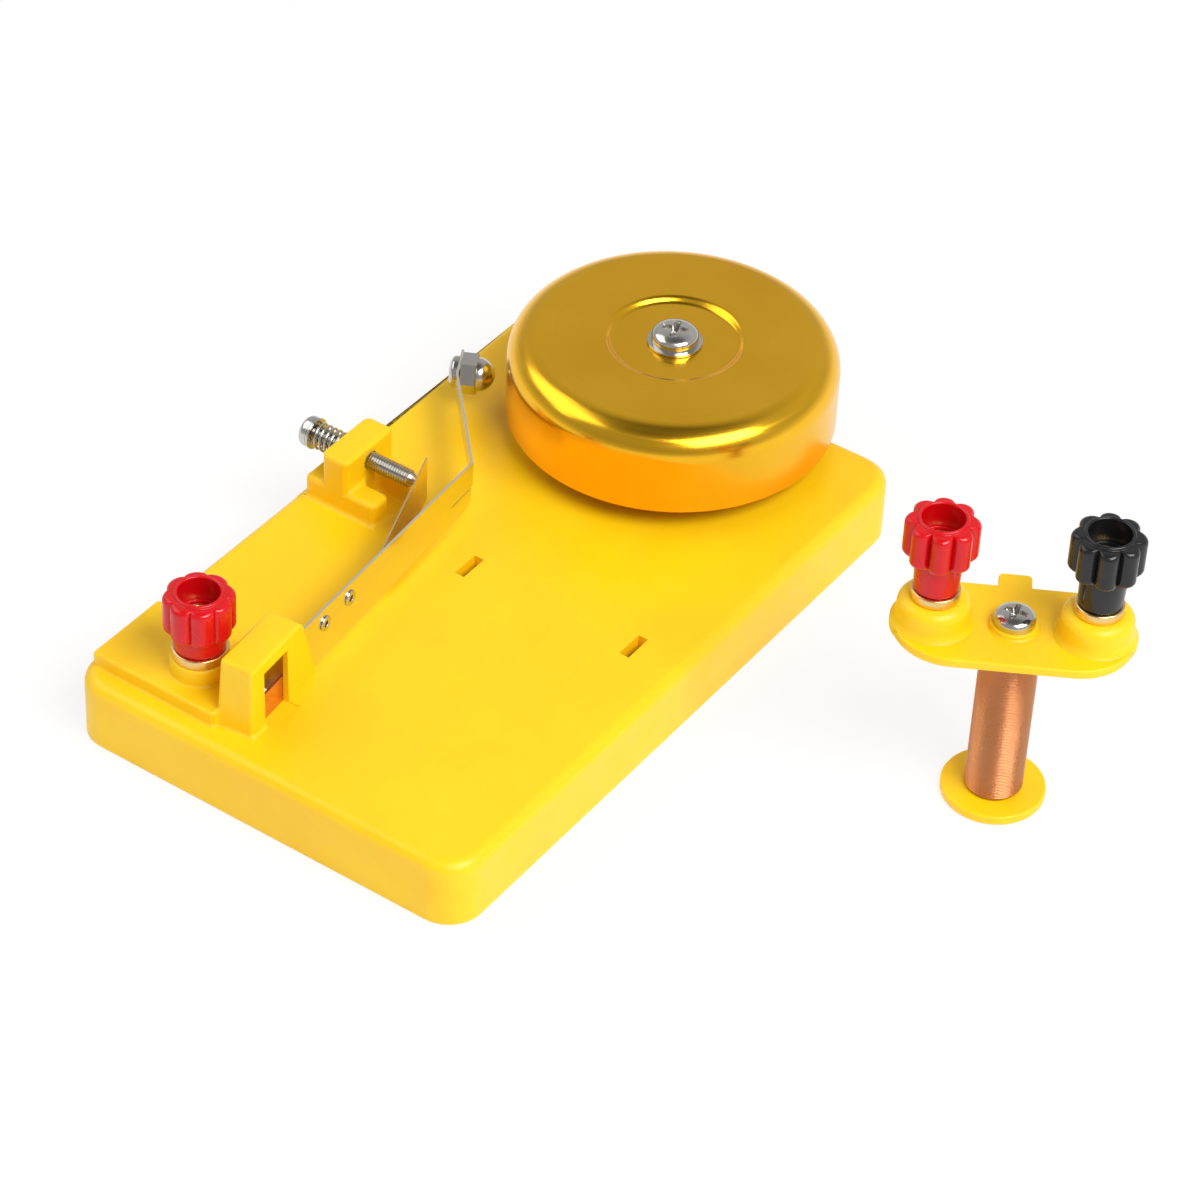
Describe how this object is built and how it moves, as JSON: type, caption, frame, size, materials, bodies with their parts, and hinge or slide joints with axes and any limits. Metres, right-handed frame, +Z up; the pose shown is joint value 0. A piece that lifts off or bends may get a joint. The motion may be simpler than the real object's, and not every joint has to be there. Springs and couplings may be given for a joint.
{
  "type": "electric bell demonstrator",
  "caption": "Classroom electric bell: moulded base with sprung strip, hammer, contact screw and gong, and a plug-in coil unit standing beside it.",
  "frame": {"origin": "centre of the base moulding's underside, where its two ribs cross", "axes": "+Z up, +Y along the base towards the gong, +X across the base towards the coil unit"},
  "size_m": [0.1426, 0.1358, 0.0533],
  "materials": {
    "yellow_plastic": "moulded, smooth",
    "gong_brass": "polished",
    "nickel_steel": "nickel plated",
    "strip_steel": "rolled spring strip",
    "leaf_bronze": "rolled phosphor bronze",
    "terminal_brass": "turned",
    "copper": "plain copper",
    "enamelled_copper": "enamelled copper wire",
    "soft_iron": "plain",
    "red_plastic": "moulded, glossy",
    "black_plastic": "moulded, glossy"
  },
  "bodies": {
    "base": {"base_shell": "yellow_plastic", "gong": "gong_brass", "gong_screw": "nickel_steel", "gong_washer": "nickel_steel", "gong_nut": "nickel_steel", "base_stud": "terminal_brass", "base_stud_nut": "terminal_brass", "terminal_link": "copper", "contact_bush": "terminal_brass", "contact_spring": "nickel_steel"},
    "armature": {"armature_strip": "strip_steel", "contact_leaf": "leaf_bronze", "leaf_rivets": "nickel_steel", "hammer_screw": "nickel_steel", "hammer_cap_nut": "nickel_steel"},
    "screw_washer": {"contact_washer": "nickel_steel"},
    "screw": {"contact_screw": "nickel_steel"},
    "base_collar_body": {"base_collar": "terminal_brass"},
    "base_knob_body": {"base_knob": "red_plastic"},
    "coil_unit": {"bobbin": "yellow_plastic", "inner_winding": "enamelled_copper", "coil_winding": "enamelled_copper", "winding_leads": "enamelled_copper", "iron_core": "soft_iron", "core_screw": "nickel_steel", "coil_studs": "terminal_brass", "coil_nuts": "terminal_brass", "solder_tags": "nickel_steel"},
    "red_collar_body": {"red_collar": "terminal_brass"},
    "red_knob_body": {"red_knob": "red_plastic"},
    "black_collar_body": {"black_collar": "terminal_brass"},
    "black_knob_body": {"black_knob": "black_plastic"}
  },
  "joints": [
    {"name": "armature_swing", "type": "hinge", "parent": "base", "child": "armature", "pos_m": [-0.00799, -0.03766, 0.0175], "axis": [0, 0, -1], "range_deg": [0, 1.45], "stiffness_Nm_per_rad": 0.4, "springref_deg": -1.15},
    {"name": "screw_travel", "type": "slide", "parent": "base", "child": "screw_washer", "axis": [-1, 0, 0], "range_m": [0, 0.0015]},
    {"name": "screw_turn", "type": "hinge", "parent": "screw_washer", "child": "screw", "pos_m": [-0.03, 0.00199, 0.0192], "axis": [-1, 0, 0], "range_deg": [0, 1080]},
    {"name": "base_knob_rise", "type": "slide", "parent": "base", "child": "base_collar_body", "axis": [0, 0, 1], "range_m": [0, 0.0024]},
    {"name": "base_knob_turn", "type": "hinge", "parent": "base_collar_body", "child": "base_knob_body", "pos_m": [-0.0203, -0.05015, 0.022], "axis": [0, 0, 1], "range_deg": [0, 1080]},
    {"name": "red_knob_rise", "type": "slide", "parent": "coil_unit", "child": "red_collar_body", "axis": [0, 0, 1], "range_m": [0, 0.0024]},
    {"name": "red_knob_turn", "type": "hinge", "parent": "red_collar_body", "child": "red_knob_body", "pos_m": [0.07367, 0.00913, 0.046], "axis": [0, 0, 1], "range_deg": [0, 1080]},
    {"name": "black_knob_rise", "type": "slide", "parent": "coil_unit", "child": "black_collar_body", "axis": [0, 0, 1], "range_m": [0, 0.0024]},
    {"name": "black_knob_turn", "type": "hinge", "parent": "black_collar_body", "child": "black_knob_body", "pos_m": [0.09513, 0.02127, 0.046], "axis": [0, 0, 1], "range_deg": [0, 1080]},
    {"name": "coil_lift", "type": "slide", "parent": "base", "child": "coil_unit", "axis": [0, 0, 1], "range_m": [0, 0.08]}
  ],
  "couplings": [
    {"joint": "screw_turn", "follows": "screw_travel", "rad_per_m": 12566},
    {"joint": "base_knob_turn", "follows": "base_knob_rise", "rad_per_m": 7853.9},
    {"joint": "red_knob_turn", "follows": "red_knob_rise", "rad_per_m": 7853.9},
    {"joint": "black_knob_turn", "follows": "black_knob_rise", "rad_per_m": 7853.9}
  ]
}
